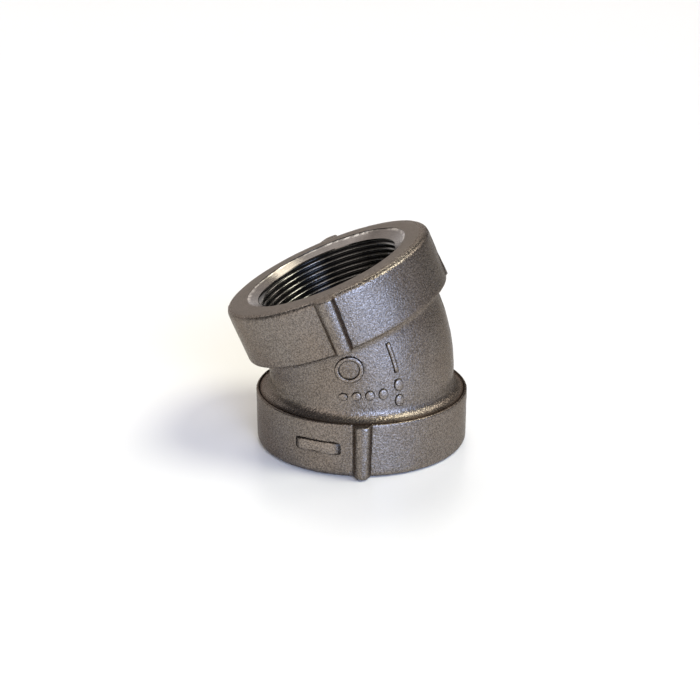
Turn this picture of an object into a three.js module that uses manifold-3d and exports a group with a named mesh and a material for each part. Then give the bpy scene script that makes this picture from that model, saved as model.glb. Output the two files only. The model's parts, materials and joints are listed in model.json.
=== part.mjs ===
// A 22.5 degree threaded pipe elbow for 2 inch pipe: one iron casting with two banded ends,
// a bent neck between them, two ribs on each band and a tapered female pipe thread in each end.
// Millimetres, +Z up. The elbow stands on its lower face and its upper end leans towards -X.

import * as THREE from "three";
import { mergeVertices } from "three/addons/utils/BufferGeometryUtils.js";
import Module from "manifold-3d";

// The bend, whose two axes meet at one point.
const BEND_ANGLE = THREE.MathUtils.degToRad(22.5);
const CENTRE_TO_FACE = 36.5; // from the point where the axes meet to each end face
const CENTRELINE_RADIUS = 42.5;

// The bands, which stiffen the threaded ends.
const BAND_RADIUS = 41.65;
const BAND_HEIGHT = 21.6;
const BAND_BACK_ROUNDING = 1.2;
const FACE_LAND_RADIUS = 37.0; // flat out to here, then the as-cast face slopes away
const FACE_SLOPE_DROP = 0.3;
const FACE_EDGE_WIDTH = 1.6;
const FACE_EDGE_HEIGHT = 1.9;

// The neck and the passage inside it.
const NECK_RADIUS = 36.2;
const WALL_THICKNESS = 5.6;
const NECK_FILLET = 4.0;

// The ribs that stand on each band, square to the plane of the bend.
const RIB_BASE_WIDTH = 7.4;
const RIB_CREST_WIDTH = 3.2;
const RIB_HEIGHT = 3.4;
const RIB_ROOT_DEPTH = 1.5; // how far a rib's base is sunk into its band
const RIB_FACE_SETBACK = 0.5;

// The 2-11 1/2 NPT thread, its countersunk mouth and its run-out into the passage.
const THREAD_PITCH = 25.4 / 11.5;
const THREAD_DEPTH = 0.8 * THREAD_PITCH;
const THREAD_TAPER = 1 / 32; // radius lost for each millimetre of depth
const PITCH_RADIUS_AT_FACE = 57.633 / 2;
const THREAD_LENGTH = 19.5;
const MOUTH_RADIUS = 32.8;
const MOUTH_DEPTH = 2.1;
const MOUTH_THROAT_RADIUS = 28.6;
const RUN_OUT_LENGTH = 3.0;

// How finely the round shapes are cut.
const BAND_SEGMENTS = 60;
const NECK_STEPS = 9;
const THREAD_SEGMENTS = 36;
const EDGE_STEPS = 3;
const ROWS_PER_TURN = 2;

const MARGIN = 2; // how far a cutter runs past what it cuts
const PASSAGE_RADIUS = NECK_RADIUS - WALL_THICKNESS;
const Y_AXIS = new THREE.Vector3(0, 1, 0);
const Z_AXIS = new THREE.Vector3(0, 0, 1);

const wasm = await Module();
wasm.setup();

const bendPoint = Z_AXIS.clone().multiplyScalar(CENTRE_TO_FACE);
const upperAxis = Z_AXIS.clone().applyAxisAngle(Y_AXIS, -BEND_ANGLE);

// A port's own frame has its origin at the middle of the face and +Z pointing out of the elbow.
const lowerPort = new THREE.Matrix4().makeRotationY(Math.PI);
const upperPort = new THREE.Matrix4()
  .makeRotationY(-BEND_ANGLE)
  .setPosition(bendPoint.clone().addScaledVector(upperAxis, CENTRE_TO_FACE));
const ports = [lowerPort, upperPort];

// Turns a closed geometry into a solid, placed by a matrix.
function solidFrom(geometry, placement = new THREE.Matrix4()) {
  const bare = new THREE.BufferGeometry();
  bare.setAttribute("position", geometry.getAttribute("position").clone());
  if (geometry.index) bare.setIndex(geometry.index.clone());
  bare.applyMatrix4(placement);
  const merged = mergeVertices(bare, 1e-4);
  const shell = new wasm.Mesh({
    numProp: 3,
    vertProperties: merged.getAttribute("position").array,
    triVerts: new Uint32Array(merged.index.array),
  });
  return new wasm.Manifold(shell);
}

// Turns a solid back into a geometry that three.js can show.
function geometryFrom(solid) {
  const shell = solid.getMesh();
  const geometry = new THREE.BufferGeometry();
  geometry.setAttribute("position", new THREE.BufferAttribute(shell.vertProperties, 3));
  geometry.setIndex(new THREE.BufferAttribute(shell.triVerts, 1));
  geometry.computeVertexNormals();
  return geometry;
}

// Revolves a profile of (radius, height) points about the Z axis of a port.
function revolved(profile, segments) {
  return new THREE.LatheGeometry(profile, segments).rotateX(Math.PI / 2);
}

// The points of a quarter ellipse from one angle to another, in a profile plane.
function quarterArc(centreRadius, centreHeight, radial, axial, fromAngle, toAngle) {
  const points = [];
  for (let step = 0; step <= EDGE_STEPS; step++) {
    const angle = fromAngle + ((toAngle - fromAngle) * step) / EDGE_STEPS;
    const radius = centreRadius + radial * Math.cos(angle);
    const height = centreHeight + axial * Math.sin(angle);
    points.push(new THREE.Vector2(radius, height));
  }
  return points;
}

// A band's full disc, with its fillet onto the neck, its rounded back edge and its face.
function bandGeometry() {
  const quarter = Math.PI / 2;
  const edgeTop = -FACE_SLOPE_DROP;
  const fillet = quarterArc(
    NECK_RADIUS + NECK_FILLET, -BAND_HEIGHT - NECK_FILLET,
    NECK_FILLET, NECK_FILLET, Math.PI, quarter,
  );
  const backEdge = quarterArc(
    BAND_RADIUS - BAND_BACK_ROUNDING, -BAND_HEIGHT + BAND_BACK_ROUNDING,
    BAND_BACK_ROUNDING, BAND_BACK_ROUNDING, -quarter, 0,
  );
  const faceEdge = quarterArc(
    BAND_RADIUS - FACE_EDGE_WIDTH, edgeTop - FACE_EDGE_HEIGHT,
    FACE_EDGE_WIDTH, FACE_EDGE_HEIGHT, 0, quarter,
  );
  const profile = [
    new THREE.Vector2(0, -BAND_HEIGHT - NECK_FILLET),
    new THREE.Vector2(NECK_RADIUS - 1, -BAND_HEIGHT - NECK_FILLET),
    ...fillet,
    ...backEdge,
    ...faceEdge,
    new THREE.Vector2(FACE_LAND_RADIUS, 0),
    new THREE.Vector2(0, 0),
  ];
  return revolved(profile, BAND_SEGMENTS);
}

// A rib's rounded section, run along its band.
function ribGeometry() {
  const foot = BAND_RADIUS - RIB_ROOT_DEPTH;
  const shoulder = BAND_RADIUS + RIB_HEIGHT * 0.8;
  const crest = BAND_RADIUS + RIB_HEIGHT * 1.2;
  const section = new THREE.Shape();
  section.moveTo(-RIB_BASE_WIDTH / 2, foot);
  section.lineTo(RIB_BASE_WIDTH / 2, foot);
  section.lineTo(RIB_CREST_WIDTH / 2, shoulder);
  section.quadraticCurveTo(0, crest, -RIB_CREST_WIDTH / 2, shoulder);
  section.closePath();
  const depth = BAND_HEIGHT - RIB_FACE_SETBACK;
  const settings = { depth, bevelEnabled: false, curveSegments: EDGE_STEPS };
  return new THREE.ExtrudeGeometry(section, settings).translate(0, 0, -BAND_HEIGHT);
}

// The bent centreline, which starts and ends at the same distance from the two faces.
class BentCentreline extends THREE.Curve {
  constructor(distanceFromFace) {
    super();
    this.tangentLength = CENTRELINE_RADIUS * Math.tan(BEND_ANGLE / 2);
    this.start = distanceFromFace;
    this.straight = CENTRE_TO_FACE - this.tangentLength - distanceFromFace;
  }

  getPoint(t, target = new THREE.Vector3()) {
    const arcLength = CENTRELINE_RADIUS * BEND_ANGLE;
    const distance = t * (2 * this.straight + arcLength);
    if (distance <= this.straight) return target.set(0, 0, this.start + distance);
    const beyondArc = distance - this.straight - arcLength;
    if (beyondArc >= 0) {
      return target.copy(bendPoint).addScaledVector(upperAxis, this.tangentLength + beyondArc);
    }
    const angle = (distance - this.straight) / CENTRELINE_RADIUS;
    const lean = CENTRELINE_RADIUS * (1 - Math.cos(angle));
    const rise = CENTRELINE_RADIUS * Math.sin(angle);
    return target.set(-lean, 0, CENTRE_TO_FACE - this.tangentLength + rise);
  }
}

// A round bar along the bent centreline.
function bentBar(radius, distanceFromFace) {
  const section = new THREE.Shape();
  section.absarc(0, 0, radius, 0, 2 * Math.PI);
  return new THREE.ExtrudeGeometry(section, {
    steps: NECK_STEPS,
    curveSegments: BAND_SEGMENTS / 2,
    extrudePath: new BentCentreline(distanceFromFace),
  });
}

// The countersunk mouth of a port.
function mouthGeometry() {
  const slope = (MOUTH_RADIUS - MOUTH_THROAT_RADIUS) / MOUTH_DEPTH;
  const innerRadius = MOUTH_THROAT_RADIUS - slope * MARGIN;
  const outerRadius = MOUTH_RADIUS + slope * MARGIN;
  const profile = [
    new THREE.Vector2(0, -MOUTH_DEPTH - MARGIN),
    new THREE.Vector2(innerRadius, -MOUTH_DEPTH - MARGIN),
    new THREE.Vector2(outerRadius, MARGIN),
    new THREE.Vector2(0, MARGIN),
  ];
  return revolved(profile, BAND_SEGMENTS);
}

// The cone that opens the end of a thread into the wider passage.
function runOutGeometry() {
  const startRadius = PITCH_RADIUS_AT_FACE - THREAD_DEPTH / 2 - THREAD_TAPER * THREAD_LENGTH;
  const slope = (PASSAGE_RADIUS - startRadius) / RUN_OUT_LENGTH;
  const end = -THREAD_LENGTH - RUN_OUT_LENGTH;
  const profile = [
    new THREE.Vector2(0, end - MARGIN),
    new THREE.Vector2(startRadius, end - MARGIN),
    new THREE.Vector2(PASSAGE_RADIUS, end),
    new THREE.Vector2(startRadius - slope * MARGIN, -THREAD_LENGTH + MARGIN),
    new THREE.Vector2(0, -THREAD_LENGTH + MARGIN),
  ];
  return revolved(profile, BAND_SEGMENTS);
}

// A tapered right-hand screw, which leaves the thread behind when it is cut away. Its points
// follow the helix in two rows to each turn, one along the ridge and one along the valley.
function screwPoint(row, segment) {
  const turn = segment / THREAD_SEGMENTS;
  const angle = 2 * Math.PI * turn;
  const z = MARGIN + (turn - row / ROWS_PER_TURN) * THREAD_PITCH;
  const halfDepth = row % ROWS_PER_TURN === 0 ? THREAD_DEPTH / 2 : -THREAD_DEPTH / 2;
  const radius = PITCH_RADIUS_AT_FACE + THREAD_TAPER * z + halfDepth;
  return new THREE.Vector3(radius * Math.cos(angle), radius * Math.sin(angle), z);
}

// The screw's closed surface. Each turn ends where the next one up begins, so the top and the
// bottom are each closed by a fan over one turn and the step back to its start.
function screwGeometry() {
  const depth = THREAD_LENGTH + RUN_OUT_LENGTH + MARGIN;
  const rows = ROWS_PER_TURN * Math.ceil(depth / THREAD_PITCH + 1);
  const triangles = [];
  for (let row = 0; row < rows; row++) {
    for (let segment = 0; segment < THREAD_SEGMENTS; segment++) {
      const upperLeft = screwPoint(row, segment);
      const upperRight = screwPoint(row, segment + 1);
      const lowerLeft = screwPoint(row + 1, segment);
      const lowerRight = screwPoint(row + 1, segment + 1);
      triangles.push(lowerLeft, lowerRight, upperRight);
      triangles.push(lowerLeft, upperRight, upperLeft);
    }
  }
  const topLoop = [];
  const bottomLoop = [];
  for (let segment = 0; segment < THREAD_SEGMENTS; segment++) {
    topLoop.push(screwPoint(0, segment));
    bottomLoop.unshift(screwPoint(rows, segment));
  }
  for (let row = 0; row < ROWS_PER_TURN; row++) {
    topLoop.push(screwPoint(row, THREAD_SEGMENTS));
    bottomLoop.push(screwPoint(rows - 1 - row, 0));
  }
  for (const loop of [topLoop, bottomLoop]) {
    const centre = new THREE.Vector3(0, 0, loop[0].z);
    loop.forEach((point, index) => {
      triangles.push(centre, point, loop[(index + 1) % loop.length]);
    });
  }
  return new THREE.BufferGeometry().setFromPoints(triangles);
}

// One iron casting: the neck, the bands and the ribs, with the passage, the mouths and the
// threads cut out of it.
function elbowCasting() {
  const neckStart = BAND_HEIGHT - MARGIN;
  let casting = solidFrom(bentBar(NECK_RADIUS, neckStart));
  let hollow = solidFrom(bentBar(PASSAGE_RADIUS, THREAD_LENGTH + RUN_OUT_LENGTH));
  for (const port of ports) {
    casting = casting.add(solidFrom(bandGeometry(), port));
    casting = casting.add(solidFrom(ribGeometry(), port));
    casting = casting.add(solidFrom(ribGeometry().rotateZ(Math.PI), port));
    hollow = hollow.add(solidFrom(mouthGeometry(), port));
    hollow = hollow.add(solidFrom(screwGeometry(), port));
    hollow = hollow.add(solidFrom(runOutGeometry(), port));
  }
  return casting.subtract(hollow);
}

const elbow = new THREE.Group();
const castIron = new THREE.MeshStandardMaterial({ color: 0x6f6a64, roughness: 0.55, metalness: 0.8 });
const casting = new THREE.Mesh(geometryFrom(elbowCasting()), castIron);
casting.name = "elbow_casting";

// The origin is at the middle of the casting's base.
casting.geometry.computeBoundingBox();
const extents = casting.geometry.boundingBox;
casting.position.x = -(extents.min.x + extents.max.x) / 2;
elbow.add(casting);

export default elbow;
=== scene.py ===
"""A threaded cast-iron pipe elbow of 22.5 degrees, standing on a pale floor.

One closed mesh stands for the casting. It is a grid of rings, all cut at the same angles, that
runs from the upper mouth down the outside, into the lower mouth and back up the passage. A
second mesh holds the raised marks, each a closed shell set into the casting.
Lengths below are in millimetres until a mesh is made, and in metres in Blender.
"""

import json
import math

import bmesh
import bpy
import numpy as np
from mathutils import Matrix, Vector, noise


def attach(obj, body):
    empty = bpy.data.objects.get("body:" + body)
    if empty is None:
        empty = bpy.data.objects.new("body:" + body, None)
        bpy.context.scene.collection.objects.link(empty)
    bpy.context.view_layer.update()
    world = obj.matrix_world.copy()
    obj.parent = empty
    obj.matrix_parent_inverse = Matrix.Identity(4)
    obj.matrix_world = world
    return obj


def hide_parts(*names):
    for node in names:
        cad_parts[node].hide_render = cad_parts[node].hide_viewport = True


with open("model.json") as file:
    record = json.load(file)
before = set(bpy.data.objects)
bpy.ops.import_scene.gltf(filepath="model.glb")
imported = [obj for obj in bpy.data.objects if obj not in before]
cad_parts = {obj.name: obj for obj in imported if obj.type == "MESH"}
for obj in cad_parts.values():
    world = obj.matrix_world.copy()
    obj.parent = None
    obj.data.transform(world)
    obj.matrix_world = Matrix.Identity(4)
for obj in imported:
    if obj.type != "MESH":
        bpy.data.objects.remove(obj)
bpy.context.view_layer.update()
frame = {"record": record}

MM = 0.001

# ---------------------------------------------------------------- driving dimensions (mm)

# The bend, from the two faces that the record mounts pipes on.
MOUNTS = {mount["name"]: mount for mount in frame["record"]["mounts"]}
UPPER_AXIS = Vector(MOUNTS["upper_face"]["axis"])
BEND = math.atan2(-UPPER_AXIS.x, UPPER_AXIS.z)
AXIS_X = MOUNTS["lower_face"]["pos_m"][0] / MM
CENTRE_TO_FACE = MOUNTS["upper_face"]["pos_m"][2] / MM / (1 + math.cos(BEND))
CENTRELINE_RADIUS = 42.5

# The bands.
BAND_RADIUS = 41.65
BAND_HEIGHT = 21.6
FACE_LAND_RADIUS = 37.0
FACE_DROP = 0.3
FACE_EDGE_HEIGHT = 2.1
# The cast edge left round a face: its mean width, and how much wider it is on the outer side,
# where the skimming cut ran shallow.
FACE_EDGES = {"upper": (1.8, 0.7), "lower": (1.8, -0.4)}
BACK_ROUNDING = 0.8

# The neck and the passage.
NECK_RADIUS = 36.2
NECK_FILLET = 4.0
GROOVE_DEPTH = 0.6  # the crease inside a band's back edge
PASSAGE_RADIUS = 30.6

# The ribs. Each flank is given by its foot and its crest edge, measured round the band from
# the middle of the rib, first at the face and then at the back edge. The pattern's ribs were
# dressed by hand, so no two flanks are alike.
RIB_HEIGHT = 3.4
RIB_SETBACK = 0.5
RIB_ROUNDING = 0.8
RIB_CROWN = 0.09  # the share of a rib's height that its rounded crest takes
RIB_FLANKS = {
    "upper": {"inner": ((-4.0, -0.9), (-4.0, -2.3)), "outer": ((4.1, 2.7), (3.1, 1.7))},
    "lower": {"inner": ((-3.2, -1.0), (-3.2, -1.3)), "outer": ((3.5, 1.3), (4.1, 2.3))},
}

# The mould's parting line, which runs round the plane of the bend.
PARTING_HEIGHT = 0.22
PARTING_WIDTH = 0.55
FLASH_HEIGHT = 0.6

# The mouths and the 2-11 1/2 NPT threads.
PITCH = 25.4 / 11.5
THREAD_DEPTH = 0.8 * PITCH
THREAD_TAPER = 1 / 32
PITCH_RADIUS = 57.633 / 2
THREAD_LENGTH = 19.5
THREAD_START = 0.2  # share of a pitch from the face to the upper thread's crest on the outer side
RUN_OUT = 3.0
MOUTH_RADIUS = 32.8
MOUTH_THROAT = 28.6
MOUTH_DEPTH = 2.1
MOUTH_STEP = 0.3  # the small upright step that the countersink leaves at its rim
MOUTH_SLOPE = (MOUTH_RADIUS - MOUTH_THROAT) / MOUTH_DEPTH
RIM_MARGIN = 0.5  # how far outside the mouth's rim the face's rows begin
RIM_HIGHLIGHT_REACH = 0.35  # how far below the rim's step the painted highlight reaches
BLEND_DEPTH = 0.12  # over which the countersink's finish gives way to the thread's
THREAD_FLAT = 0.045  # half of a crest's or a root's flat, as a share of the pitch

# The cast surface's relief.
SWELL_HEIGHT, SWELL_SIZE = 0.05, 9.0
DIMPLE_HEIGHT, DIMPLE_SIZE = 0.035, 3.2
POCK_DEPTH, POCK_SIZE = 0.22, 1.9
POCK_THRESHOLD = 0.45  # of the noise that makes the pocks, so that they are few

# The painted shade in the crease behind each band, and how far it spreads from there.
CREASE_RADIUS = 40.5
CREASE_SPREAD = (0.7, 1.2)  # across the radius and along the depth

# The raised marks: blank stand-ins for the maker's. They are a plain ring, a row and a column of
# pips, a bar and an empty pad. Places are arc lengths to the right of and above a mark's origin.
MARK_HEIGHT = 0.75
MARK_ROOT = 0.5  # how deep a mark is set into the casting
MARK_WIDTH = 1.7
RING_MIDDLE, RING_RADIUS = (-2.4, 5.8), 4.6
PIP_SIZE = 1.9  # half of its width
PIP_ROW, PIP_ROW_SPACING = (-6.8, -5.6), 5.0
PIP_COLUMN, PIP_COLUMN_SPACING = (14.4, -3.6), 4.6
BAR_TOP, BAR_STEP, BAR_POINTS = (14.4, 9.2), 1.5, 7
PAD_MIDDLE, PAD_HALF_LENGTH, PAD_HALF_WIDTH = (-17.0, 11.6), 9.5, 2.7

# ---------------------------------------------------------------- ring frames

LOWER, UPPER = "lower", "upper"


def ring_axes(lean):
    """The across and along directions of a ring whose plane leans by an angle."""
    across = np.array([math.cos(lean), 0.0, math.sin(lean)])
    along = np.array([-math.sin(lean), 0.0, math.cos(lean)])
    return across, along


def face_centre(port):
    """The middle of a port's face, with the lower port's at the origin."""
    if port == LOWER:
        return np.zeros(3)
    along = ring_axes(BEND)[1]
    return np.array([0.0, 0.0, CENTRE_TO_FACE]) + along * CENTRE_TO_FACE


def quarter_angles():
    """Angles from the parting line to a rib, in degrees, closer together near both."""
    fine = 0.4
    coarse = 1.5
    parting = np.arange(0, 2, fine)
    plain = np.arange(2, 83, coarse)
    rib = np.arange(83, 90, fine)
    return np.concatenate([parting, plain, rib])


def ring_angles():
    """The angles of every ring, in radians, once round."""
    quarter = quarter_angles()
    half = np.concatenate([quarter, 180 - quarter, [90]])
    full = np.concatenate([half, -half])
    full = np.unique(np.round(np.mod(full, 360), 6))
    return np.radians(full)


ANGLES = ring_angles()
CLOSED_ANGLES = np.append(ANGLES, ANGLES[0] + 2 * math.pi)


def port_points(port, radius, depth, angles=CLOSED_ANGLES):
    """Points at a radius about a port's axis and a depth below its face."""
    lean = BEND if port == UPPER else 0.0
    across, along = ring_axes(lean)
    inward = -along if port == UPPER else along
    sideways = np.array([0.0, 1.0, 0.0])
    radius = np.broadcast_to(radius, angles.shape)[:, None]
    depth = np.broadcast_to(depth, angles.shape)[:, None]
    around = np.cos(angles)[:, None] * across + np.sin(angles)[:, None] * sideways
    return face_centre(port) + inward * depth + around * radius


def bend_points(radius, lean, distance=0.0):
    """A ring of the neck or the passage at an angle round the bend, or a distance before it."""
    tangent = CENTRELINE_RADIUS * math.tan(BEND / 2)
    across, along = ring_axes(lean)
    arc_centre = np.array([-CENTRELINE_RADIUS, 0.0, CENTRE_TO_FACE - tangent])
    centre = arc_centre + across * CENTRELINE_RADIUS + along * distance
    angles = CLOSED_ANGLES
    sideways = np.array([0.0, 1.0, 0.0])
    around = np.cos(angles)[:, None] * across + np.sin(angles)[:, None] * sideways
    return centre + around * radius


# ---------------------------------------------------------------- outlines


def arc(radius_centre, depth_centre, radial, axial, start, end, count):
    """Points of an elliptical arc in a (radius, depth) plane, by angles in degrees."""
    turns = np.radians(np.linspace(start, end, count))
    radii = radius_centre + radial * np.cos(turns)
    depths = depth_centre + axial * np.sin(turns)
    return np.column_stack([radii, depths])


def line(first, last, count):
    """Points from first up to but not including last."""
    share = np.linspace(0, 1, count, endpoint=False)[:, None]
    return np.array(first) * (1 - share) + np.array(last) * share


# How many rings each stretch of a band's outline takes, from its face to the neck.
LAND_ROWS, CROWN_ROWS, EDGE_ROWS = 3, 4, 7
SIDE_ROWS, BACK_ROWS, FILLET_ROWS = 16, 5, 8


def face_rows(edge_width):
    """The flat land and the sloping crown of a face."""
    land = line((MOUTH_RADIUS + RIM_MARGIN, 0), (FACE_LAND_RADIUS, 0), LAND_ROWS)
    crown_end = BAND_RADIUS - edge_width
    share = np.linspace(0, 1, CROWN_ROWS, endpoint=False)
    radii = FACE_LAND_RADIUS + (crown_end - FACE_LAND_RADIUS) * share
    crown = np.column_stack([radii, FACE_DROP * share**1.5])
    return np.concatenate([land, crown])


def band_outline(edge_width):
    """A plain band's outside from the mouth's rim back to the neck."""
    edge = arc(
        BAND_RADIUS - edge_width, FACE_DROP + FACE_EDGE_HEIGHT,
        edge_width, FACE_EDGE_HEIGHT, -90, 0, EDGE_ROWS,
    )
    side_end = BAND_HEIGHT - BACK_ROUNDING
    side = line(edge[-1], (BAND_RADIUS, side_end), SIDE_ROWS)[1:]
    back = back_rows(BAND_RADIUS, BACK_ROUNDING)
    return np.concatenate([face_rows(edge_width), edge, side, back])


def rib_outline(edge_width):
    """The same rows along the crest of a rib."""
    crest = BAND_RADIUS + RIB_HEIGHT
    corner = arc(
        crest - RIB_ROUNDING, RIB_SETBACK + RIB_ROUNDING,
        RIB_ROUNDING, RIB_ROUNDING, -90, 0, EDGE_ROWS - 2,
    )
    edge_start = (BAND_RADIUS - edge_width, FACE_DROP)
    edge = np.concatenate([line(edge_start, corner[0], 2), corner])
    side = line(edge[-1], (crest, BAND_HEIGHT - RIB_ROUNDING), SIDE_ROWS)[1:]
    back = back_rows(crest, RIB_ROUNDING)
    return np.concatenate([face_rows(edge_width), edge, side, back])


def back_rows(radius, rounding):
    """The rounded back edge, the crease inside it and the fillet onto the neck."""
    back = arc(
        radius - rounding, BAND_HEIGHT - rounding, rounding, rounding, 0, 90, BACK_ROWS,
    )
    foot = NECK_RADIUS + NECK_FILLET
    inner_edge = radius - rounding
    shelf = inner_edge - foot
    groove = [
        (inner_edge - shelf * 0.35, BAND_HEIGHT - GROOVE_DEPTH * 0.8),
        (inner_edge - shelf * 0.7, BAND_HEIGHT - GROOVE_DEPTH),
    ]
    fillet = arc(
        foot, BAND_HEIGHT - GROOVE_DEPTH / 2 + NECK_FILLET,
        NECK_FILLET, NECK_FILLET, -90, -180, FILLET_ROWS,
    )
    return np.concatenate([back, groove, fillet])


# ---------------------------------------------------------------- shape across the angles


def smooth(share):
    """Eases a share between 0 and 1 at both of its ends."""
    share = np.clip(share, 0, 1)
    return share * share * (3 - 2 * share)


def rib_share(angles, port, along):
    """How far each angle stands up a rib, from 0 on the plain band to 1 on a crest.

    along runs from 0 at the face to 1 at the back edge.
    """
    folded = np.abs(np.mod(angles + math.pi, 2 * math.pi) - math.pi)
    across = (math.pi / 2 - folded) * BAND_RADIUS
    climbs, edges = [], []
    for face_end, back_end in RIB_FLANKS[port].values():
        foot = face_end[0] + (back_end[0] - face_end[0]) * along
        edge = face_end[1] + (back_end[1] - face_end[1]) * along
        climbs.append((across - foot) / (edge - foot))
        edges.append(edge)
    flank = np.clip(np.minimum(*climbs), 0, 1)
    middle, half_width = (edges[0] + edges[1]) / 2, (edges[1] - edges[0]) / 2
    crown = np.clip(1 - ((across - middle) / half_width) ** 2, 0, 1)
    return (1 - RIB_CROWN) * (1.25 * flank - 0.25 * flank**4) + RIB_CROWN * crown


def off_parting(angles):
    """Arc length in mm from the nearer parting line."""
    folded = np.abs(np.mod(angles + math.pi / 2, math.pi) - math.pi / 2)
    return folded * BAND_RADIUS


def wander(seed, place, scale=1.0):
    """A repeatable wander between about -1 and 1 along a length."""
    return noise.noise(Vector((place * scale, seed * 7.3, seed * 3.1)))


def parting_ridge(angles, place):
    """Height of the ridge that the mould's joint leaves, at a place along it."""
    height = PARTING_HEIGHT * (0.7 + 0.6 * wander(2, place, 0.35))
    return max(height, 0.03) * np.exp(-((off_parting(angles) / (PARTING_WIDTH / 2)) ** 2))


def flash(angles, depth):
    """The spur of flash left on the upper band's outer side, near its back edge."""
    along = smooth((depth - 11.0) / 9.0) if depth < BAND_HEIGHT - 0.6 else 0.0
    near = np.abs(np.mod(angles + math.pi, 2 * math.pi) - math.pi) * BAND_RADIUS
    return FLASH_HEIGHT * along * np.exp(-((near / 0.45) ** 2))


# ---------------------------------------------------------------- rows of the grid

SKIN, FACE, MOUTH, THREAD, CORE = range(5)


def between(first, second, share):
    """The radius and depth part way from one outline point to another, at each angle."""
    return [first[axis] + (second[axis] - first[axis]) * share for axis in (0, 1)]


def band_rows(port):
    """Rings of a band's outside, from its mouth's rim to the neck."""
    rows = []
    machined = LAND_ROWS + CROWN_ROWS
    mean, swing = FACE_EDGES[port]
    outer = (1 + np.cos(CLOSED_ANGLES)) / 2
    bands = [band_outline(mean + swing * side) for side in (-1, 1)]
    ribs = [rib_outline(mean + swing * side) for side in (-1, 1)]
    for index in range(len(bands[0])):
        plain = between(bands[0][index], bands[1][index], outer)
        crest = between(ribs[0][index], ribs[1][index], outer)
        back = bands[0][index][1]
        share = rib_share(CLOSED_ANGLES, port, min(back / BAND_HEIGHT, 1))
        radius, depth = between(plain, crest, share)
        if index >= machined + 2:
            radius = radius + parting_ridge(CLOSED_ANGLES, back + 50 * (port == UPPER))
            if port == UPPER:
                radius = radius + flash(CLOSED_ANGLES, back)
        look = FACE if index < machined else SKIN
        rows.append((port_points(port, radius, depth), look))
    return rows


def neck_rows():
    """Rings of the neck, from the upper band down to the lower one."""
    rows = []
    tangent = CENTRELINE_RADIUS * math.tan(BEND / 2)
    straight = CENTRE_TO_FACE - tangent - BAND_HEIGHT - NECK_FILLET + GROOVE_DEPTH / 2
    before = np.linspace(straight, 0, 4)[1:]
    leans = np.linspace(BEND, 0, 16)[1:]
    stations = [(BEND, distance) for distance in before]
    stations += [(lean, 0.0) for lean in leans]
    stations += [(0.0, -distance) for distance in before[::-1][1:]]
    for lean, distance in stations:
        place = 25 + lean * CENTRELINE_RADIUS + distance
        radius = NECK_RADIUS + parting_ridge(CLOSED_ANGLES, place)
        ring = bend_points(1.0, lean, distance)
        centre = bend_points(0.0, lean, distance)
        rows.append((centre + (ring - centre) * radius[:, None], SKIN))
    return rows


# Where the rows of one turn of the thread lie, as shares of its pitch from a crest.
ROW_SHARES = (
    0, THREAD_FLAT, 0.25, 0.5 - THREAD_FLAT,
    0.5, 0.5 + THREAD_FLAT, 0.75, 1 - THREAD_FLAT,
)


def thread_form(share):
    """Height of the thread above its root, from 0 to 1, at a share of one pitch."""
    folded = abs(2 * (share % 1.0) - 1)
    return min(max((folded - 2 * THREAD_FLAT) / (1 - 4 * THREAD_FLAT), 0), 1)


def mouth_radius(depth):
    """The countersink's radius at a depth."""
    return MOUTH_RADIUS - MOUTH_SLOPE * (depth - MOUTH_STEP)


def mouth_wear():
    """The height of the step at the mouth's rim at each angle, as a share of its usual one."""
    worn = []
    for turn in CLOSED_ANGLES:
        slow = wander(4, 9 * math.cos(turn), 0.8)
        quick = wander(5, 20 * math.sin(turn))
        worn.append(1 + 0.3 * slow + 0.2 * quick)
    return np.array(worn)


def socket_rows(port):
    """Rings of a mouth, its thread and the run-out, from the rim inwards.

    The rows follow the helix, so a row ends one turn further in or out than it began, where
    it meets the row one pitch away. Points above the step or past the run-out are held there.
    """
    total = THREAD_LENGTH + RUN_OUT
    turn = CLOSED_ANGLES / (2 * math.pi)
    climb = THREAD_START - 1 - turn if port == UPPER else turn - 2
    run_out_start = PITCH_RADIUS - THREAD_DEPTH / 2 - THREAD_TAPER * THREAD_LENGTH
    run_out_slope = (PASSAGE_RADIUS - run_out_start) / RUN_OUT
    step = MOUTH_STEP * mouth_wear()
    rim = mouth_radius(step)
    rows = [(port_points(port, rim, 0), MOUTH)]
    for pitch in range(int(total / PITCH) + 3):
        for share in ROW_SHARES:
            depth = np.clip((pitch + share + climb) * PITCH, step, total)
            thread = PITCH_RADIUS - THREAD_TAPER * depth + THREAD_DEPTH * (0.5 - thread_form(share))
            mouth = mouth_radius(depth)
            run_out = run_out_start + run_out_slope * (depth - THREAD_LENGTH)
            radius = np.maximum(thread, np.maximum(mouth, run_out))
            look = np.where(mouth >= thread, MOUTH, THREAD)
            rows.append((port_points(port, radius, depth), look))
    return rows


def passage_rows():
    """Rings of the cored passage, from the lower socket up to the upper one."""
    tangent = CENTRELINE_RADIUS * math.tan(BEND / 2)
    straight = CENTRE_TO_FACE - tangent - THREAD_LENGTH - RUN_OUT
    before = np.linspace(-straight, 0, 4)[1:]
    leans = np.linspace(0, BEND, 10)[1:]
    stations = [(0.0, distance) for distance in before]
    stations += [(lean, 0.0) for lean in leans]
    stations += [(BEND, -distance) for distance in before[::-1][1:]]
    return [(bend_points(PASSAGE_RADIUS, lean, distance), CORE) for lean, distance in stations]


def casting_rows():
    """Every ring of the casting in order, from the upper mouth's rim back to itself."""
    outside = band_rows(UPPER) + neck_rows() + band_rows(LOWER)[::-1]
    lower = socket_rows(LOWER)
    upper = socket_rows(UPPER)[::-1]
    return outside + lower + passage_rows() + upper


# ---------------------------------------------------------------- the mesh


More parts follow.
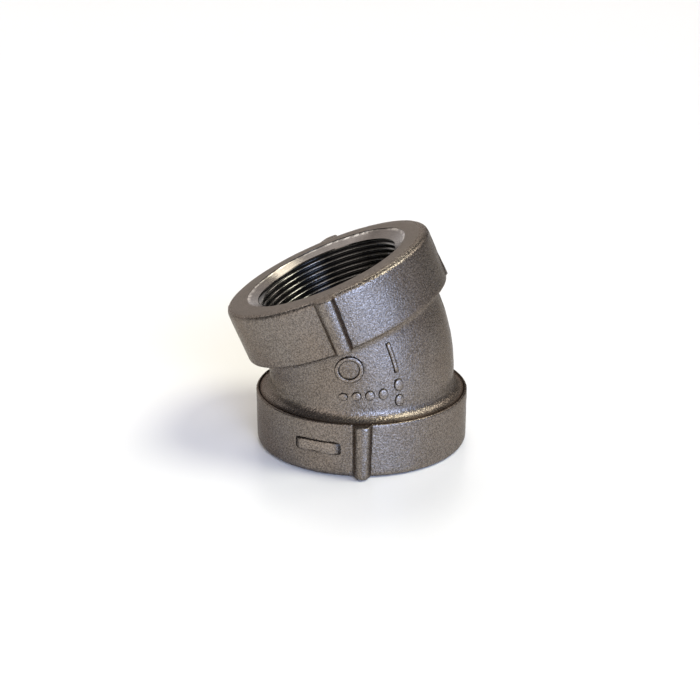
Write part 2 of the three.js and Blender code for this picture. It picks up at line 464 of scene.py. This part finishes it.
def grid_faces(row_count, column_count):
    """Quads between each ring and the next, the last ring meeting the first."""
    first = np.arange(row_count)[:, None] * (column_count + 1)
    after = np.roll(np.arange(row_count), -1)[:, None] * (column_count + 1)
    column = np.arange(column_count)[None, :]
    corners = [first + column, first + column + 1, after + column + 1, after + column]
    return np.stack([np.broadcast_to(c, (row_count, column_count)) for c in corners], axis=-1)


def relief(place):
    """Height in mm of the sand mould's low swells and dips at a place on the casting, in mm."""
    swell = noise.noise(place / SWELL_SIZE)
    dimple = noise.noise(place / DIMPLE_SIZE + Vector((5, 1, 3)))
    pock = max(0.0, noise.noise(place / POCK_SIZE + Vector((2, 8, 4))) - POCK_THRESHOLD)
    return SWELL_HEIGHT * swell + DIMPLE_HEIGHT * dimple - POCK_DEPTH * pock


def roughen(mesh, looks):
    """Moves the vertices that touch only cast surfaces along their normals."""
    cast = [True] * len(mesh.vertices)
    for face in mesh.polygons:
        if face.material_index not in looks:
            for vertex in face.vertices:
                cast[vertex] = False
    normals = [Vector(vertex.normal) for vertex in mesh.vertices]
    for vertex, normal in zip(mesh.vertices, normals):
        if cast[vertex.index]:
            vertex.co += normal * relief(vertex.co / MM) * MM


def vertex_vectors(mesh, kind):
    """The co or the normal of every vertex of a mesh, one to a row."""
    values = np.empty(3 * len(mesh.vertices))
    mesh.vertices.foreach_get(kind, values)
    return values.reshape(-1, 3)


def port_measures(points):
    """Each point's radius about its port's axis, depth below its face, and way round the axis."""
    along = ring_axes(BEND)[1]
    from_face = face_centre(UPPER) - points
    upper_depth = from_face @ along
    upper_radius = np.linalg.norm(from_face - upper_depth[:, None] * along, axis=1)
    lower_radius = np.linalg.norm(points[:, :2], axis=1)
    upper_end = CENTRE_TO_FACE - 8  # short of the middle of the bend
    on_upper = upper_depth < upper_end
    radius = np.where(on_upper, upper_radius, lower_radius)
    depth = np.where(on_upper, upper_depth, points[:, 2])
    outward = np.where(on_upper[:, None], upper_depth[:, None] * along - from_face, points)
    axis = np.where(on_upper[:, None], along, np.array([0.0, 0.0, 1.0]))
    around = np.cross(axis, outward)
    around /= np.linalg.norm(around, axis=1)[:, None]
    return radius, depth, around


def shade_paint_amount(radius, depth, steep):
    """How much painted shade darkens each point: some on the ribs' flanks, most in the bands'
    creases.
    """
    flank = 0.55 * smooth((steep - 0.78) / 0.14)
    across, along = CREASE_SPREAD
    off_crease = np.hypot((radius - CREASE_RADIUS) / across, (depth - BAND_HEIGHT) / along)
    return np.maximum(flank, np.exp(-(off_crease**2)))


def measure_cuts(mesh):
    """Stores what the materials need at each vertex.

    turning is its distance from its port's axis, and crest its height up the thread. threaded says
    whether it is cut below the countersink, rim whether it takes the painted highlight at the
    mouth's rim, and painted_shade how much painted shade darkens it. A normal turns round the axis
    only on a rib's flanks.
    """
    points = vertex_vectors(mesh, "co") / MM - np.array([AXIS_X, 0.0, 0.0])
    radius, depth, around = port_measures(points)
    steep = np.abs(np.sum(vertex_vectors(mesh, "normal") * around, axis=1))
    rim_highlight_mask = (radius < MOUTH_RADIUS + RIM_MARGIN / 2) & (depth < MOUTH_STEP + RIM_HIGHLIGHT_REACH)
    stored_values = {
        "turning": radius,
        "crest": (PITCH_RADIUS - THREAD_TAPER * depth - radius) / THREAD_DEPTH + 0.5,
        "threaded": np.clip((radius - mouth_radius(depth)) / BLEND_DEPTH, 0, 1),
        "rim": np.where(rim_highlight_mask, 1.0, 0.0),
        "painted_shade": shade_paint_amount(radius, depth, steep),
    }
    for name, values in stored_values.items():
        stored = mesh.attributes.new(name, "FLOAT", "POINT")
        stored.data.foreach_set("value", values.astype(np.float32))


def casting_mesh():
    """The casting as one closed mesh, with a material slot for each kind of surface."""
    rows = casting_rows()
    points = np.concatenate([ring for ring, look in rows])
    points = (points + np.array([AXIS_X, 0.0, 0.0])) * MM
    columns = len(ANGLES)
    faces = grid_faces(len(rows), columns)
    looks = np.stack([np.broadcast_to(look, columns + 1) for ring, look in rows])
    looks = np.minimum(looks, np.roll(looks, -1, axis=0))
    looks = np.minimum(looks[:, :-1], looks[:, 1:])
    mesh = bpy.data.meshes.new("elbow")
    mesh.from_pydata(points.tolist(), [], faces.reshape(-1, 4).tolist())
    mesh.polygons.foreach_set("material_index", looks.reshape(-1).astype(np.int32))
    shape = bmesh.new()
    shape.from_mesh(mesh)
    bmesh.ops.remove_doubles(shape, verts=shape.verts, dist=1e-6)
    bmesh.ops.recalc_face_normals(shape, faces=shape.faces)
    sharp = math.radians(38)
    for edge in shape.edges:
        threaded = all(face.material_index == THREAD for face in edge.link_faces)
        edge.smooth = threaded or edge.calc_face_angle() < sharp
    for face in shape.faces:
        face.smooth = True
    shape.to_mesh(mesh)
    shape.free()
    roughen(mesh, (SKIN, CORE))
    measure_cuts(mesh)
    return mesh


# ---------------------------------------------------------------- raised marks

# A raised line's section from one foot to the other, as shares of half its width and of its
# height. It flares at its feet, which lie just below the casting's surface.
STROKE_SECTION = (
    (-1.25, -0.1), (-1.0, 0.2), (-0.8, 0.75), (-0.45, 1.0),
    (0.45, 1.0), (0.8, 0.75), (1.0, 0.2), (1.25, -0.1),
)


def on_neck(right, up, height):
    """A place on the front of the neck, by arc lengths in mm from the middle of the bend."""
    lean = BEND / 2 + up / CENTRELINE_RADIUS
    tangent = CENTRELINE_RADIUS * math.tan(BEND / 2)
    across, along = ring_axes(lean)
    centre = np.array([-CENTRELINE_RADIUS, 0.0, CENTRE_TO_FACE - tangent])
    centre = centre + across * CENTRELINE_RADIUS
    turn = right / NECK_RADIUS - math.pi / 2
    around = math.cos(turn) * across + math.sin(turn) * np.array([0.0, 1.0, 0.0])
    return centre + around * (NECK_RADIUS + height)


def on_lower_band(right, up, height):
    """A place on the front of the lower band, by arc lengths in mm from its rib and its face."""
    turn = right / BAND_RADIUS - math.pi / 2
    radius = BAND_RADIUS + height
    return np.array([radius * math.cos(turn), radius * math.sin(turn), up])


class Marks:
    """Gathers closed raised shapes into one mesh."""

    def __init__(self):
        self.points = []
        self.heights = []
        self.faces = []

    def shell(self, surface, rings, closed=False):
        """Skins equal rings of (right, up, height) points, and closes the ends of an open one."""
        start, size = len(self.points), len(rings[0])
        for ring in rings:
            self.points.extend(surface(*point) for point in ring)
            self.heights.extend(max(point[2], 0) / MARK_HEIGHT for point in ring)
        count = len(rings)
        for row in range(count if closed else count - 1):
            first, second = start + row * size, start + (row + 1) % count * size
            for column in range(size):
                after = (column + 1) % size
                self.faces.append((first + column, first + after, second + after, second + column))
        if not closed:
            self.faces.append(tuple(range(start, start + size)))
            self.faces.append(tuple(range(start + (count - 1) * size, start + count * size)))

    def stroke(self, surface, path, width=MARK_WIDTH, closed=False):
        """A raised line along a path of (right, up) points on a surface."""
        path = np.array(path, dtype=float)
        ahead = np.roll(path, -1, axis=0) - np.roll(path, 1, axis=0)
        if not closed:
            ahead[0], ahead[-1] = path[1] - path[0], path[-1] - path[-2]
        rings = []
        for place, way in zip(path, ahead):
            side = np.array([way[1], -way[0]]) / np.linalg.norm(way) * width / 2
            section = [(1.0, -MARK_ROOT), (-1.0, -MARK_ROOT)]
            section += [(share, rise * MARK_HEIGHT) for share, rise in STROKE_SECTION]
            rings.append([(*(place + side * share), rise) for share, rise in section])
        self.shell(surface, rings, closed)

    def dome(self, surface, middle, half_length, half_width, power=2.0):
        """A raised pad with an oval or, at a high power, a nearly square outline."""
        rings = []
        for size, rise in ((1.0, -MARK_ROOT), (1.0, -0.05), (0.93, 0.2), (0.86, 0.8), (0.7, 1.0)):
            ring = []
            for turn in np.linspace(0, 2 * math.pi, 40, endpoint=False):
                across, up = math.cos(turn), math.sin(turn)
                right = math.copysign(abs(across) ** (2 / power), across) * half_length * size
                rising = math.copysign(abs(up) ** (2 / power), up) * half_width * size
                level = rise * MARK_HEIGHT if rise > 0 else rise
                ring.append((middle[0] + right, middle[1] + rising, level))
            rings.append(ring)
        self.shell(surface, rings)

    def mesh(self):
        mesh = bpy.data.meshes.new("marks")
        points = (np.array(self.points) + np.array([AXIS_X, 0.0, 0.0])) * MM
        mesh.from_pydata(points.tolist(), [], self.faces)
        shape = bmesh.new()
        shape.from_mesh(mesh)
        bmesh.ops.recalc_face_normals(shape, faces=shape.faces)
        for face in shape.faces:
            face.smooth = True
        shape.to_mesh(mesh)
        shape.free()
        stored = mesh.attributes.new("height", "FLOAT", "POINT")
        stored.data.foreach_set("value", np.array(self.heights, dtype=np.float32))
        return mesh


def marks_mesh():
    """A ring, pips and a bar on the neck, and a blank pad on the lower band."""
    marks = Marks()
    right, up = RING_MIDDLE
    ring = []
    for turn in np.linspace(0, 2 * math.pi, 40, endpoint=False):
        ring.append((right + RING_RADIUS * math.cos(turn), up + RING_RADIUS * math.sin(turn)))
    marks.stroke(on_neck, ring, closed=True)
    right, up = PIP_ROW
    for place in range(4):
        marks.dome(on_neck, (right + PIP_ROW_SPACING * place, up), PIP_SIZE, PIP_SIZE)
    right, up = BAR_TOP
    marks.stroke(on_neck, [(right, up - BAR_STEP * step) for step in range(BAR_POINTS)])
    right, up = PIP_COLUMN
    for place in range(2):
        marks.dome(on_neck, (right, up - PIP_COLUMN_SPACING * place), PIP_SIZE, PIP_SIZE)
    marks.dome(on_lower_band, PAD_MIDDLE, PAD_HALF_LENGTH, PAD_HALF_WIDTH, power=6.0)
    return marks.mesh()


# ---------------------------------------------------------------- materials


class Nodes:
    """Short names for making and joining a material's nodes."""

    def __init__(self, name):
        self.material = bpy.data.materials.new(name)
        self.material.use_nodes = True
        self.tree = self.material.node_tree
        self.shader = self.tree.nodes["Principled BSDF"]

    def add(self, kind, **settings):
        node = self.tree.nodes.new(kind)
        for name, value in settings.items():
            setattr(node, name, value)
        return node

    def link(self, source, target):
        self.tree.links.new(source, target)

    def place(self):
        """The position on the object, in millimetres."""
        where = self.add("ShaderNodeTexCoord").outputs["Object"]
        scale = self.add("ShaderNodeVectorMath", operation="SCALE")
        self.link(where, scale.inputs[0])
        scale.inputs["Scale"].default_value = 1 / MM
        return scale.outputs[0]

    def grain(self, size, detail=2.0, roughness=0.5):
        """Noise whose features are about a size in mm across."""
        texture = self.add("ShaderNodeTexNoise")
        self.link(self.place(), texture.inputs["Vector"])
        texture.inputs["Scale"].default_value = 1 / size
        texture.inputs["Detail"].default_value = detail
        texture.inputs["Roughness"].default_value = roughness
        return texture.outputs["Fac"]

    def ramp(self, value, *stops):
        """Colours or greys between stops of (position, colour)."""
        node = self.add("ShaderNodeValToRGB")
        self.link(value, node.inputs["Fac"])
        elements = node.color_ramp.elements
        while len(elements) < len(stops):
            elements.new(0.5)
        for element, (position, colour) in zip(elements, stops):
            element.position = position
            channels = colour if isinstance(colour, tuple) else (colour,) * 3
            element.color = (*channels, 1)
        return node.outputs["Color"]

    def math(self, operation, first, second):
        """The result of an operation on two values or sockets."""
        node = self.add("ShaderNodeMath", operation=operation)
        for socket, value in zip(node.inputs, (first, second)):
            if isinstance(value, (int, float)):
                socket.default_value = value
            else:
                self.link(value, socket)
        return node.outputs[0]

    def mix(self, share, first, second, blend="MIX"):
        """Two colours mixed by a share, or blended in another way."""
        node = self.add("ShaderNodeMix", data_type="RGBA", blend_type=blend)
        sockets = [node.inputs[place] for place in (0, 6, 7)]
        for socket, value in zip(sockets, (share, first, second)):
            if isinstance(value, tuple):
                socket.default_value = (*value, 1)
            elif isinstance(value, (int, float)):
                socket.default_value = value
            else:
                self.link(value, socket)
        return node.outputs[2]

    def bump(self, height, distance, under=None):
        """A bump of a height map whose full range is a distance in mm."""
        node = self.add("ShaderNodeBump")
        self.link(height, node.inputs["Height"])
        node.inputs["Distance"].default_value = distance * MM
        node.inputs["Strength"].default_value = 1.0
        if under is not None:
            self.link(under, node.inputs["Normal"])
        return node.outputs["Normal"]

    def finish(self, colour, roughness, normal, metallic, **fixed):
        """Joins everything to the shader, and returns the finished material."""
        self.link(colour, self.shader.inputs["Base Color"])
        self.link(roughness, self.shader.inputs["Roughness"])
        self.link(normal, self.shader.inputs["Normal"])
        self.shader.inputs["Metallic"].default_value = metallic
        for name, value in fixed.items():
            self.shader.inputs[name.replace("_", " ")].default_value = value
        return self.material


IRON = (0.200, 0.167, 0.138)  # bare grey iron, warmed by an oil film
DRY_IRON = (0.198, 0.172, 0.149)  # the same where the film is thin
GREY_IRON = (0.205, 0.180, 0.160)  # iron that a cut has cleaned
CUT_IRON = (0.17, 0.165, 0.155)  # the tapped threads
PAINTED_RIM_HIGHLIGHT = (0.60, 0.56, 0.50)  # a painted highlight along a mouth's rim
EDGE_HIGHLIGHT_TINT = (1.0, 1.08, 1.15)  # multiplies the colour of the skin's convex edges: a painted highlight, tinted like the blue sheen
FLANK_SHADE = (0.55, 0.46, 0.41)  # multiplies it on the ribs' flanks, as painted shade
EDGE_TINT = (0.55, 0.52, 0.49, 1)  # dulls the skin where it is seen edge on


def shade(colour, factor):
    """A colour made lighter or darker."""
    return tuple(channel * factor for channel in colour)


def cast_skin(name, height=None):
    """Bare grey iron as it left the sand, with a fine sparkling grain.

    Creases get painted shade and convex edges a painted highlight. On a raised mark, the stored
    height paints shade at its foot and a highlight on its crest.
    """
    nodes = Nodes(name)
    grain = nodes.grain(0.62, detail=1.5, roughness=0.6)
    cloud = nodes.grain(16, detail=3)
    speck = nodes.grain(0.55, detail=2)
    base = nodes.ramp(cloud, (0.35, shade(IRON, 0.93)), (0.65, DRY_IRON))
    spots = nodes.ramp(speck, (0.38, 0.64), (0.60, 1.32))
    colour = nodes.mix(1.0, base, spots, "MULTIPLY")
    if height:
        stored = nodes.add("ShaderNodeAttribute", attribute_name=height).outputs["Fac"]
        # On a mark the foot is darkened as painted shade and the crest lightened as a painted
        # highlight.
        painted_light_and_shade = nodes.ramp(stored, (0.0, 0.1), (0.7, 0.3), (0.95, 1.2))
    else:
        bend = nodes.add("ShaderNodeNewGeometry").outputs["Pointiness"]
        # Pointiness paints shade into concave creases and a blue-tinted highlight onto convex
        # edges.
        edges = nodes.ramp(bend, (0.42, 0.2), (0.485, 1.0), (0.515, 1.0), (0.58, EDGE_HIGHLIGHT_TINT))
        painted_shade = nodes.add("ShaderNodeAttribute", attribute_name="painted_shade").outputs["Fac"]
        # Painted shade: darker and browner on the ribs' flanks, darkest in the crease behind each
        # band.
        flank_and_crease_shade = nodes.ramp(painted_shade, (0.0, 1.0), (0.55, FLANK_SHADE), (1.0, 0.2))
        painted_light_and_shade = nodes.mix(1.0, edges, flank_and_crease_shade, "MULTIPLY")
    colour = nodes.mix(1.0, colour, painted_light_and_shade, "MULTIPLY")
    roughness = nodes.ramp(grain, (0.3, 0.20), (0.7, 0.36))
    coarse = nodes.bump(nodes.grain(2.2, detail=2), 0.07)
    fine = nodes.bump(grain, 0.20, under=coarse)
    return nodes.finish(colour, roughness, fine, 0.88, Specular_Tint=EDGE_TINT)


def tool_marks(nodes, pitch, strength):
    """Fine rings about the port's axis, of uneven depth, as a lathe tool leaves them."""
    turning = nodes.add("ShaderNodeAttribute", attribute_name="turning").outputs["Fac"]
    rings = nodes.add("ShaderNodeTexNoise", noise_dimensions="1D")
    nodes.link(turning, rings.inputs["W"])
    rings.inputs["Scale"].default_value = 1 / pitch
    rings.inputs["Detail"].default_value = 2
    return rings.outputs["Fac"], nodes.bump(rings.outputs["Fac"], strength)


def turned_face():
    """The face ring, skimmed in a lathe and dulled by oil."""
    nodes = Nodes("turned_face")
    rings, normal = tool_marks(nodes, 0.35, 0.018)
    cloud = nodes.grain(4, detail=5, roughness=0.7)
    grain = nodes.grain(0.5, detail=2)
    base = nodes.ramp(cloud, (0.3, shade(GREY_IRON, 0.92)), (0.7, shade(GREY_IRON, 1.10)))
    bands = nodes.ramp(rings, (0.35, 0.88), (0.65, 1.08))
    colour = nodes.mix(1.0, base, bands, "MULTIPLY")
    pits = nodes.ramp(grain, (0.36, 0.70), (0.58, 1.22))
    colour = nodes.mix(1.0, colour, pits, "MULTIPLY")
    roughness = nodes.ramp(grain, (0.3, 0.34), (0.7, 0.5))
    texture = nodes.bump(grain, 0.07, under=normal)
    return nodes.finish(colour, roughness, texture, 0.88, Specular_Tint=EDGE_TINT)


def machined_bore():
    """The countersink, cut smooth with a painted highlight at its rim, and the threads, their roots
    darkened for oil and as painted shade and their crests lightened as a painted highlight.

    The countersink's and the threads' slots share it, so that one finish fades into the other.
    """
    nodes = Nodes("machined_bore")
    rings, normal = tool_marks(nodes, 0.22, 0.010)
    rim = nodes.add("ShaderNodeAttribute", attribute_name="rim").outputs["Fac"]
    grain = nodes.grain(0.6, detail=3)
    cloud = nodes.grain(5, detail=4)
    cone = nodes.ramp(cloud, (0.3, shade(GREY_IRON, 0.78)), (0.7, shade(GREY_IRON, 1.08)))
    cone = nodes.mix(1.0, cone, nodes.ramp(rings, (0.35, 0.85), (0.65, 1.1)), "MULTIPLY")
    # A painted highlight, broken by noise, along the mouth's rim.
    worn = nodes.math("MULTIPLY", rim, nodes.ramp(nodes.grain(2.6), (0.42, 0.1), (0.56, 1.0)))
    cone = nodes.mix(worn, cone, PAINTED_RIM_HIGHLIGHT)
    crest = nodes.add("ShaderNodeAttribute", attribute_name="crest").outputs["Fac"]
    # Roots are darkened partly for cutting oil and partly as painted shade; crests are lightened as
    # a painted highlight.
    root_stop = (0.1, shade(CUT_IRON, 0.3))
    flank_stop = (0.7, shade(CUT_IRON, 0.7))
    crest_stop = (0.95, shade(CUT_IRON, 1.7))
    thread = nodes.ramp(crest, root_stop, flank_stop, crest_stop)
    thread = nodes.mix(1.0, thread, nodes.ramp(grain, (0.3, 0.85), (0.7, 1.1)), "MULTIPLY")
    threaded = nodes.add("ShaderNodeAttribute", attribute_name="threaded").outputs["Fac"]
    colour = nodes.mix(threaded, cone, thread)
    roughness = nodes.ramp(grain, (0.3, 0.15), (0.7, 0.26))
    return nodes.finish(colour, roughness, nodes.bump(grain, 0.008, under=normal), 0.95)


def cored_passage():
    """The passage, rough from its sand core."""
    nodes = Nodes("cored_passage")
    grain = nodes.grain(0.7, detail=4, roughness=0.7)
    colour = nodes.ramp(grain, (0.3, shade(IRON, 0.3)), (0.7, shade(IRON, 0.65)))
    roughness = nodes.ramp(grain, (0.3, 0.55), (0.7, 0.75))
    return nodes.finish(colour, roughness, nodes.bump(grain, 0.2), 0.6)


# ---------------------------------------------------------------- the object


def make_piece(name, mesh, *materials):
    """A piece of the casting, standing for the CAD node."""
    piece = bpy.data.objects.new(name, mesh)
    bpy.context.scene.collection.objects.link(piece)
    for material in materials:
        mesh.materials.append(material)
    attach(piece, "root")
    return piece


# One material for each kind of surface, in the order of SKIN, FACE, MOUTH, THREAD and CORE.
bore = machined_bore()
looks = (cast_skin("cast_iron_skin"), turned_face(), bore, bore, cored_passage())
casting = make_piece("elbow_casting_finished", casting_mesh(), *looks)
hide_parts("elbow_casting")
make_piece("cast_marks", marks_mesh(), cast_skin("raised_mark", height="height"))

# ---------------------------------------------------------------- floor, light and camera


def make_floor():
    """A plain pale floor that reaches the horizon, with a slight gloss like a painted board's."""
    size = 60.0  # metres from the middle to each side
    mesh = bpy.data.meshes.new("floor")
    corners = [(-size, -size, 0), (size, -size, 0), (size, size, 0), (-size, size, 0)]
    mesh.from_pydata(corners, [], [(0, 1, 2, 3)])
    floor = bpy.data.objects.new("floor", mesh)
    bpy.context.scene.collection.objects.link(floor)
    material = bpy.data.materials.new("pale_floor")
    material.use_nodes = True
    shader = material.node_tree.nodes["Principled BSDF"]
    shader.inputs["Base Color"].default_value = (0.94, 0.94, 0.94, 1)
    shader.inputs["Roughness"].default_value = 0.26
    mesh.materials.append(material)


TARGET = Vector((AXIS_X, 0.0, 35.0)) * MM


def direction(azimuth, elevation):
    """A unit vector, with azimuth 0 towards the camera side, -Y, and growing towards +X."""
    turn, rise = math.radians(azimuth), math.radians(elevation)
    flat = Vector((math.sin(turn), -math.cos(turn), 0)) * math.cos(rise)
    return flat + Vector((0, 0, math.sin(rise)))


def make_softbox(name, azimuth, elevation, spread, radiance, colour):
    """A distant soft light that covers a round patch of sky, spread degrees across."""
    light = bpy.data.lights.new(name, "SUN")
    light.angle = math.radians(spread)
    solid_angle = 2 * math.pi * (1 - math.cos(math.radians(spread / 2)))
    light.energy = radiance * solid_angle
    light.color = colour
    lamp = bpy.data.objects.new(name, light)
    lamp.location = TARGET + direction(azimuth, elevation)
    lamp.rotation_euler = direction(azimuth, elevation).to_track_quat("Z", "Y").to_euler()
    bpy.context.scene.collection.objects.link(lamp)


def make_world(colour, strength):
    """A dim, even, warm glow from all round, which fills the shadows."""
    world = bpy.data.worlds.new("studio")
    bpy.context.scene.world = world
    world.use_nodes = True
    background = world.node_tree.nodes["Background"]
    background.inputs["Color"].default_value = (*colour, 1)
    background.inputs["Strength"].default_value = strength


# The camera, matched to the photo's view. Angles are in degrees, distances in metres, and the
# shifts are shares of the sensor's width.
CAMERA_ELEVATION = 20.03
CAMERA_ROLL = 0.1
CAMERA_DISTANCE = 0.51477
CAMERA_LENS = 67.28
CAMERA_SHIFT = (-0.01666, 0.00289)


def make_camera():
    """A camera looking square on to the plane of the bend, from a little above."""
    camera = bpy.data.cameras.new("camera")
    camera.sensor_width = 36.0
    camera.lens = CAMERA_LENS
    camera.shift_x, camera.shift_y = CAMERA_SHIFT
    camera.clip_start = 0.01
    placed = bpy.data.objects.new("camera", camera)
    toward = direction(0, CAMERA_ELEVATION)
    placed.location = TARGET + toward * CAMERA_DISTANCE
    look = toward.to_track_quat("Z", "Y").to_matrix().to_4x4()
    turned = Matrix.Rotation(math.radians(CAMERA_ROLL), 4, "Z")
    placed.rotation_euler = (look @ turned).to_euler()
    bpy.context.scene.collection.objects.link(placed)
    bpy.context.scene.camera = placed


# Each softbox has its azimuth, elevation and spread in degrees, its radiance and its colour. The
# two keys give the blue sheen, and the others, mostly warm, light the rest.
make_floor()
make_world((1.0, 0.84, 0.72), 0.065)
make_softbox("key_low", 34, 7, 48, 4.3, (0.46, 0.61, 1.0))
make_softbox("key_front", 19, 22, 24, 10.6, (0.49, 0.63, 1.0))
make_softbox("right_low", 84, 14, 40, 0.3, (0.92, 0.88, 1.0))
make_softbox("overhead_right", 75, 56, 26, 11.4, (0.99, 0.98, 0.83))
make_softbox("right_back", 120, 40, 24, 3.2, (1.0, 0.92, 0.84))
make_softbox("back_high", 191, 59, 17, 7.0, (1.0, 0.98, 0.86))
make_softbox("back_left", 228, 50, 30, 1.5, (0.97, 0.97, 1.0))
make_softbox("back_wall", 200, 10, 76, 0.66, (1.0, 0.95, 0.95))
make_softbox("left_fill", 324, 12, 50, 1.4, (1.0, 0.94, 0.90))
make_softbox("front_high", 0, 48, 34, 1.6, (1.0, 0.90, 0.74))
make_camera()
bpy.context.scene.view_settings.view_transform = "Standard"
